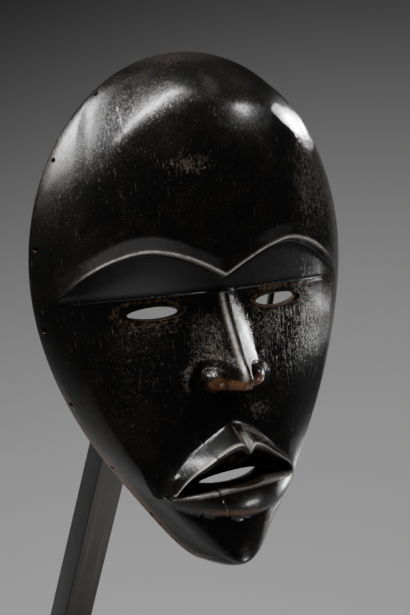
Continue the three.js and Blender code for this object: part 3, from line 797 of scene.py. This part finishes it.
bracket = bmesh.new()
bracket.from_mesh(rod_mesh("fork_rods", fork_lines, fork_radius))
bracket.from_mesh(rod_mesh("arm_rod", [arm_line], arm_radius))
weld_beads, weld_ring, bead_radius = 9, 0.0029, 0.0013
for k in range(weld_beads):
    angle = 2 * math.pi * k / weld_beads
    bead = Vector((math.cos(angle) * weld_ring, 0.0022 + 0.0004 * (k % 2), math.sin(angle) * weld_ring))
    place = Matrix.Translation(crossbar + bead) @ Matrix.Diagonal((1, 1.25, 1, 1))
    bmesh.ops.create_uvsphere(bracket, u_segments=12, v_segments=8, radius=bead_radius, matrix=place)
bracket_mesh = bpy.data.meshes.new("rod_bracket")
bracket.to_mesh(bracket_mesh)
bracket.free()
bracket_mesh.polygons.foreach_set("use_smooth", [True] * len(bracket_mesh.polygons))
bracket_mesh.set_sharp_from_angle(angle=math.radians(50))
rod_bracket = bpy.data.objects.new("rod_bracket", bracket_mesh)
bpy.context.scene.collection.objects.link(rod_bracket)


def painted_steel(name, dark, light, roughness, mottle):
    """Black paint on steel: a faint orange-peel skin, with drifts of dust and hand marks."""
    material, shader = finish_of(name, roughness)
    place = node(material, "TexCoord").outputs["Object"]
    drift = noise_at(material, place, mottle, 5.0, 0.6, 0.4)
    peel = noise_at(material, place, 900.0, 2.0, 0.5)
    dusty = span(material, drift, 0.35, 0.68)
    join(material, blend_colours(material, dusty, dark, light), shader, "Base Color")
    join(material, span(material, drift, 0.3, 0.7, roughness - 0.07, roughness + 0.1), shader, "Roughness")
    skin = node(material, "Bump", {"Strength": 0.25, "Distance": 0.00012, "Height": peel})
    join(material, skin.outputs[0], shader, "Normal")
    return material


rod_dark, rod_light = (0.012, 0.012, 0.012, 1), (0.03, 0.029, 0.028, 1)
rod_bracket.data.materials.append(painted_steel("black_rod_paint", rod_dark, rod_light, 0.42, 60.0))
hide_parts("mount_bracket")
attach(rod_bracket, "root")

# Post
# A square steel bar stands upright in the foot. Its long edges are eased, and a hole drilled
# down its top takes the bracket's arm. Its left face is painted near black as painted shade,
# and its other faces get a paler paint with wiped streaks.
post_side, post_bottom, post_edge = 0.016, 0.0163, 0.0008
shaft = bmesh.new()
bmesh.ops.create_cube(shaft, size=1.0)
bmesh.ops.scale(shaft, verts=shaft.verts, vec=(post_side, post_side, post_top - post_bottom))
bmesh.ops.translate(shaft, verts=shaft.verts, vec=(0, post_set_back, (post_top + post_bottom) / 2))
bmesh.ops.bevel(
    shaft, geom=shaft.edges[:], offset=post_edge, segments=3, profile=0.5, affect="EDGES", material=-1,
)


def drilled(holder, hole, name):
    """A new piece, which is one mesh with another cut out of it."""
    whole, part = bpy.data.meshes.new(name), bpy.data.meshes.new(name + "_hole")
    holder.to_mesh(whole)
    hole.to_mesh(part)
    piece, drill = bpy.data.objects.new(name, whole), bpy.data.objects.new("drill", part)
    for thing in (piece, drill):
        bpy.context.scene.collection.objects.link(thing)
    drilling = piece.modifiers.new("hole", "BOOLEAN")
    drilling.operation = "DIFFERENCE"
    drilling.object = drill
    made = bpy.data.meshes.new_from_object(piece.evaluated_get(bpy.context.evaluated_depsgraph_get()))
    piece.modifiers.remove(drilling)
    piece.data = made
    made.polygons.foreach_set("use_smooth", [True] * len(made.polygons))
    made.set_sharp_from_angle(angle=math.radians(32))
    bpy.data.objects.remove(drill)
    return piece


bore = bmesh.new()
bore_radius, bore_depth = 0.0034, 0.0244
bore_place = Matrix.Translation((0, post_set_back, post_top))
bmesh.ops.create_cone(
    bore, cap_ends=True, segments=32, radius1=bore_radius, radius2=bore_radius,
    depth=2 * bore_depth, matrix=bore_place,
)
square_post = drilled(shaft, bore, "square_post")
post_dark, post_light = (0.08, 0.078, 0.074, 1), (0.12, 0.114, 0.107, 1)
post_paint_and_shade = painted_steel("dark_post_paint_and_shade", post_dark, post_light, 0.5, 18.0)
place = node(post_paint_and_shade, "TexCoord").outputs["Object"]
drawn_out = node(post_paint_and_shade, "Mapping", {"Vector": place, "Scale": (400, 400, 9)}).outputs[0]
wiped = span(post_paint_and_shade, noise_at(post_paint_and_shade, drawn_out, 1.0, 3.0, 0.6), 0.5, 0.75)
# Painted shade: the left face is painted near black, and the other faces keep the paler paint.
unshaded_faces = span(post_paint_and_shade, node(post_paint_and_shade, "SeparateXYZ", {0: place}).outputs[0], -0.0079, -0.0071)
paint_shader = post_paint_and_shade.node_tree.nodes["Principled BSDF"]
mottled = paint_shader.inputs["Base Color"].links[0].from_socket
mottled = blend_colours(post_paint_and_shade, wiped, mottled, (0.16, 0.13, 0.105, 1))
colour = blend_colours(post_paint_and_shade, unshaded_faces, (0.008, 0.0079, 0.0076, 1), mottled)
join(post_paint_and_shade, colour, paint_shader, "Base Color")
square_post.data.materials.append(post_paint_and_shade)
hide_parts("post")
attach(square_post, "root")

# Foot
# A flat steel slab with a shallow square recess that the post is set into. All its edges are
# eased, and its paint is the post's in a darker shade.
foot_width, foot_depth, foot_thickness, foot_edge = 0.130, 0.140, 0.020, 0.0012
recess_depth, recess_slack = 0.004, 0.0006
slab = bmesh.new()
bmesh.ops.create_cube(slab, size=1.0)
bmesh.ops.scale(slab, verts=slab.verts, vec=(foot_width, foot_depth, foot_thickness))
bmesh.ops.translate(slab, verts=slab.verts, vec=(0, 0, foot_thickness / 2))
bmesh.ops.bevel(
    slab, geom=slab.edges[:], offset=foot_edge, segments=4, profile=0.5, affect="EDGES", material=-1,
)
recess = bmesh.new()
bmesh.ops.create_cube(recess, size=1.0)
recess_side = post_side + recess_slack
bmesh.ops.scale(recess, verts=recess.verts, vec=(recess_side, recess_side, 2 * recess_depth))
bmesh.ops.translate(recess, verts=recess.verts, vec=(0, post_set_back, foot_thickness))
flat_foot = drilled(slab, recess, "flat_foot")
foot_dark, foot_light = (0.02, 0.0195, 0.018, 1), (0.036, 0.035, 0.033, 1)
flat_foot.data.materials.append(painted_steel("dark_foot_paint", foot_dark, foot_light, 0.5, 14.0))
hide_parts("foot")
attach(flat_foot, "root")

# Floor, light and camera
# A pale matt floor. Two long soft boxes behind on the left draw the bands of light on the
# dome, and small ones at the right side and in front pick out the nose, the brow and the lips.
ground = bmesh.new()
bmesh.ops.create_grid(ground, x_segments=8, y_segments=8, size=6.0)
floor_mesh = bpy.data.meshes.new("floor")
ground.to_mesh(floor_mesh)
ground.free()
floor = bpy.data.objects.new("floor", floor_mesh)
bpy.context.scene.collection.objects.link(floor)
paper, shader = finish_of("pale_paper", 0.75, Base_Color=(0.3, 0.3, 0.3, 1))
floor.data.materials.append(paper)

mask_centre = Vector((0, -0.034, 0.354))


def soft_box(name, azimuth, height, away, width, tall, power, spread, slope=0.0, aim=mask_centre):
    """A box light, seen from its aim at an azimuth, from the front towards the right, and a height."""
    turn, lift = math.radians(azimuth), math.radians(height)
    toward = Vector((math.sin(turn) * math.cos(lift), -math.cos(turn) * math.cos(lift), math.sin(lift)))
    level = Vector((math.cos(turn), math.sin(turn), 0))
    along = Matrix.Rotation(math.radians(slope), 3, toward) @ level
    lamp = bpy.data.lights.new(name, "AREA")
    lamp.shape = "RECTANGLE"
    lamp.size, lamp.size_y = width, tall
    lamp.energy = power
    lamp.spread = math.radians(spread)
    holder = bpy.data.objects.new(name, lamp)
    bpy.context.scene.collection.objects.link(holder)
    facing = Matrix((along, toward.cross(along), toward)).transposed().to_4x4()
    holder.matrix_world = Matrix.Translation(aim + toward * away) @ facing
    holder.visible_camera = False


soft_box("overhead_strip", -142, 54, 1.0, 1.10, 0.05, 4.5, 76, -16)
soft_box("left_band", -138, 19, 1.1, 1.6, 0.18, 3.3, 50)
soft_box("upper_right", 92, 43, 1.1, 0.2, 0.2, 0.22, 40)
soft_box("right_back", 125, -14, 0.15, 0.014, 0.018, 0.0048, 14, aim=on_mask(40, 34, 208))
soft_box("right_side", 100, -4, 0.15, 0.035, 0.05, 0.006, 20, aim=on_mask(6, 50, 106))
soft_box("low_right", 104, -32, 0.3, 0.035, 0.03, 0.012, 60, aim=on_mask(20, 50, 42))
soft_box("low_front", 22, -21, 0.6, 0.2, 0.07, 0.42, 120)

surroundings = bpy.data.worlds.new("dim_room")
bpy.context.scene.world = surroundings
surroundings.use_nodes = True
surroundings.node_tree.nodes["Background"].inputs["Color"].default_value = (0.04, 0.04, 0.041, 1)

eye = Vector((-0.54337, -0.89433, 1.16295))
camera_data = bpy.data.cameras.new("camera")
camera_data.lens = 164.94
camera_data.sensor_width = 36.0
camera_data.shift_x, camera_data.shift_y = -0.0114, 0.0098
camera = bpy.data.objects.new("camera", camera_data)
bpy.context.scene.collection.objects.link(camera)
across = Vector((0.901407, -0.387230, 0.193693))
above = Vector((0.112961, 0.642193, 0.758174))
view_axes = Matrix((across, above, across.cross(above))).transposed().to_4x4()
camera.matrix_world = Matrix.Translation(eye) @ view_axes
bpy.context.scene.camera = camera
